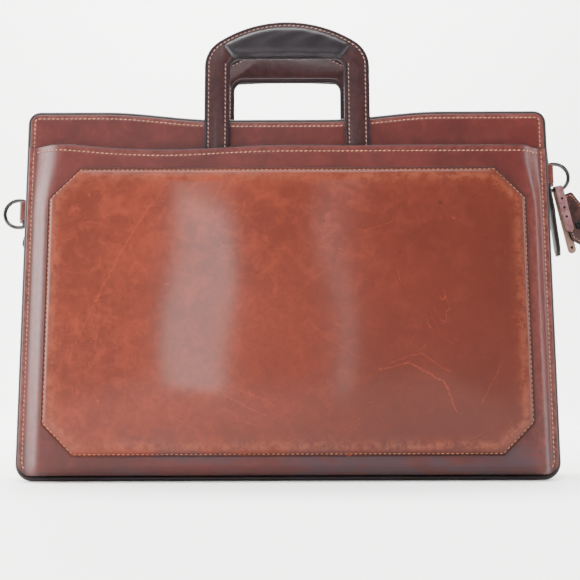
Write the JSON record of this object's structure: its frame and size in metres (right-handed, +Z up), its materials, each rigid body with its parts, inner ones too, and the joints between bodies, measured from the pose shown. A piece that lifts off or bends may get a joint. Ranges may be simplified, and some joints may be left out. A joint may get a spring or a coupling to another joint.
{
  "type": "leather briefcase",
  "caption": "Slim zip-top leather briefcase with full-width slip pockets, a raised centre panel, sliding drop handles, side rings and a hanging tag.",
  "frame": {"origin": "centre of the flat underside that the upright case stands on", "axes": "+Z up, -Y out of the front with the raised centre panel, +X to the right of someone looking at the front"},
  "size_m": [0.5052, 0.069, 0.377],
  "materials": {
    "border_leather": "worn glossy red-brown leather with fine creases",
    "centre_leather": "worn glossy orange-brown leather with scuffs and scratches",
    "handle_leather": "dark red-brown leather with black painted edges",
    "grip_leather": "dark hand-worn blue-black leather",
    "piping_leather": "glossy black leather piping",
    "tag_leather": "dark brown leather with painted edges",
    "strap_leather": "faded mauve-brown leather, raw on its inner face",
    "lining_cloth": "woven brown lining",
    "board": "pressed fibre board",
    "padding": "thin felt padding",
    "zip_tape": "woven black zip tape",
    "zip_metal": "dulled antique brass",
    "ring_metal": "tarnished nickel plate"
  },
  "bodies": {
    "case": {"rear_panel": "border_leather", "rear_board": "board", "rear_lining": "lining_cloth", "rear_pocket_panel": "border_leather", "rear_pocket_lining": "lining_cloth", "rear_handle_keepers": "border_leather", "rear_piping": "piping_leather", "base_gusset": "border_leather", "base_board": "board", "left_gusset": "border_leather", "right_gusset": "border_leather", "rear_zip_facing": "border_leather", "rear_zip_tape": "zip_tape", "rear_zip_teeth": "zip_metal", "left_zip_tail": "zip_tape", "right_zip_tail": "zip_tape", "left_ring_strap": "border_leather", "right_ring_strap": "border_leather", "inner_pocket": "lining_cloth"},
    "front_wall": {"front_panel": "border_leather", "front_board": "board", "front_lining": "lining_cloth", "front_pocket_panel": "border_leather", "front_pocket_lining": "lining_cloth", "front_handle_keepers": "border_leather", "front_piping": "piping_leather", "centre_panel": "centre_leather", "centre_padding": "padding", "front_zip_facing": "border_leather", "front_zip_tape": "zip_tape", "front_zip_teeth": "zip_metal"},
    "front_handle": {"front_handle_face": "handle_leather", "front_handle_core": "board", "front_handle_back": "handle_leather", "front_grip_pad": "grip_leather", "front_handle_stops": "handle_leather"},
    "rear_handle": {"rear_handle_face": "handle_leather", "rear_handle_core": "board", "rear_handle_back": "handle_leather", "rear_grip_pad": "grip_leather", "rear_handle_stops": "handle_leather"},
    "zip_slider": {"zip_slider": "zip_metal"},
    "zip_pull": {"zip_pull_plate": "zip_metal", "zip_pull_tab": "border_leather"},
    "left_ring": {"left_d_ring": "ring_metal"},
    "right_ring": {"right_d_ring": "ring_metal"},
    "tag": {"tag_strap": "strap_leather", "tag_plate": "tag_leather", "tag_snap": "ring_metal"}
  },
  "joints": [
    {"name": "mouth_opening", "type": "hinge", "parent": "case", "child": "front_wall", "pos_m": [0, -0.0199, 0.0024], "axis": [1, 0, 0], "range_deg": [0, 8]},
    {"name": "front_handle_drop", "type": "slide", "parent": "front_wall", "child": "front_handle", "axis": [0, 0, -1], "range_m": [0, 0.07]},
    {"name": "rear_handle_drop", "type": "slide", "parent": "case", "child": "rear_handle", "axis": [0, 0, -1], "range_m": [0, 0.07]},
    {"name": "zip_run", "type": "slide", "parent": "case", "child": "zip_slider", "axis": [-1, 0, 0], "range_m": [0, 0.376]},
    {"name": "zip_pull_flip", "type": "hinge", "parent": "zip_slider", "child": "zip_pull", "pos_m": [0.188, 0, 0.2952], "axis": [0, 1, 0], "range_deg": [0, 170]},
    {"name": "left_ring_swing", "type": "hinge", "parent": "case", "child": "left_ring", "pos_m": [-0.2233, 0, 0.2195], "axis": [0, 0, 1], "range_deg": [-75, 75]},
    {"name": "right_ring_swing", "type": "hinge", "parent": "case", "child": "right_ring", "pos_m": [0.2233, 0, 0.25], "axis": [0, 0, 1], "range_deg": [-30, 30]},
    {"name": "tag_swing", "type": "hinge", "parent": "right_ring", "child": "tag", "pos_m": [0.23071, 0, 0.23865], "axis": [0.9781, 0, 0.2079], "range_deg": [-15, 15]}
  ]
}
